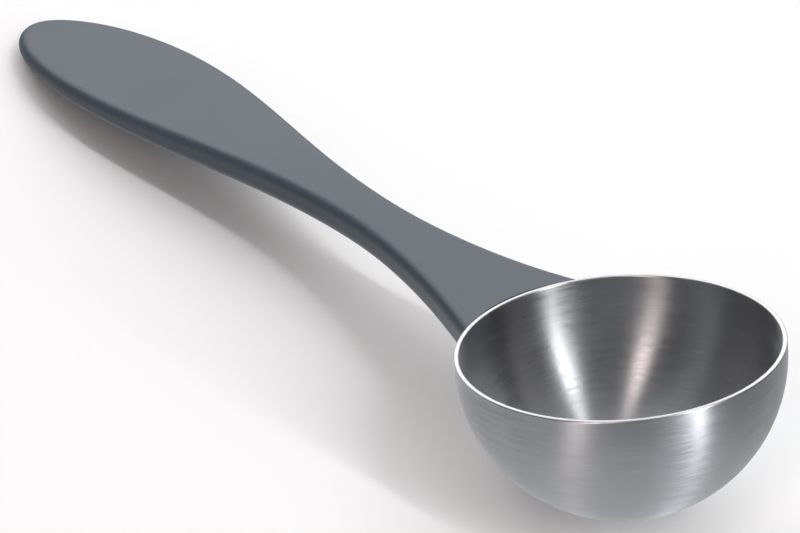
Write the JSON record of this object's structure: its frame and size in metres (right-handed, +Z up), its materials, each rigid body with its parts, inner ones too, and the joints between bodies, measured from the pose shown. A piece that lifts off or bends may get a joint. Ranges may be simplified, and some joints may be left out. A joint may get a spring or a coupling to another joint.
{
  "type": "coffee scoop",
  "caption": "Coffee measuring scoop: a brushed steel hemispherical bowl with a flat rim, on a slim grey moulded handle that flares at the bowl and widens into a leaf-shaped grip.",
  "frame": {"origin": "middle of the bounding box at the table that the scoop lies on", "axes": "+Z up from the table, +X along the scoop from the end of the handle towards the bowl, +Y to the left as seen from the handle's end"},
  "size_m": [0.1716, 0.044, 0.0285],
  "materials": {
    "brushed_bowl": "brushed around the bowl's axis, with a bright ground rim",
    "grey_moulding": "fine satin grain",
    "stamped_steel": "plain mill finish",
    "weld_steel": "as welded"
  },
  "bodies": {
    "root": {"bowl": "brushed_bowl", "handle": "grey_moulding", "tang": "stamped_steel", "weld_left_inner": "weld_steel", "weld_left_outer": "weld_steel", "weld_right_inner": "weld_steel", "weld_right_outer": "weld_steel"}
  },
  "joints": []
}
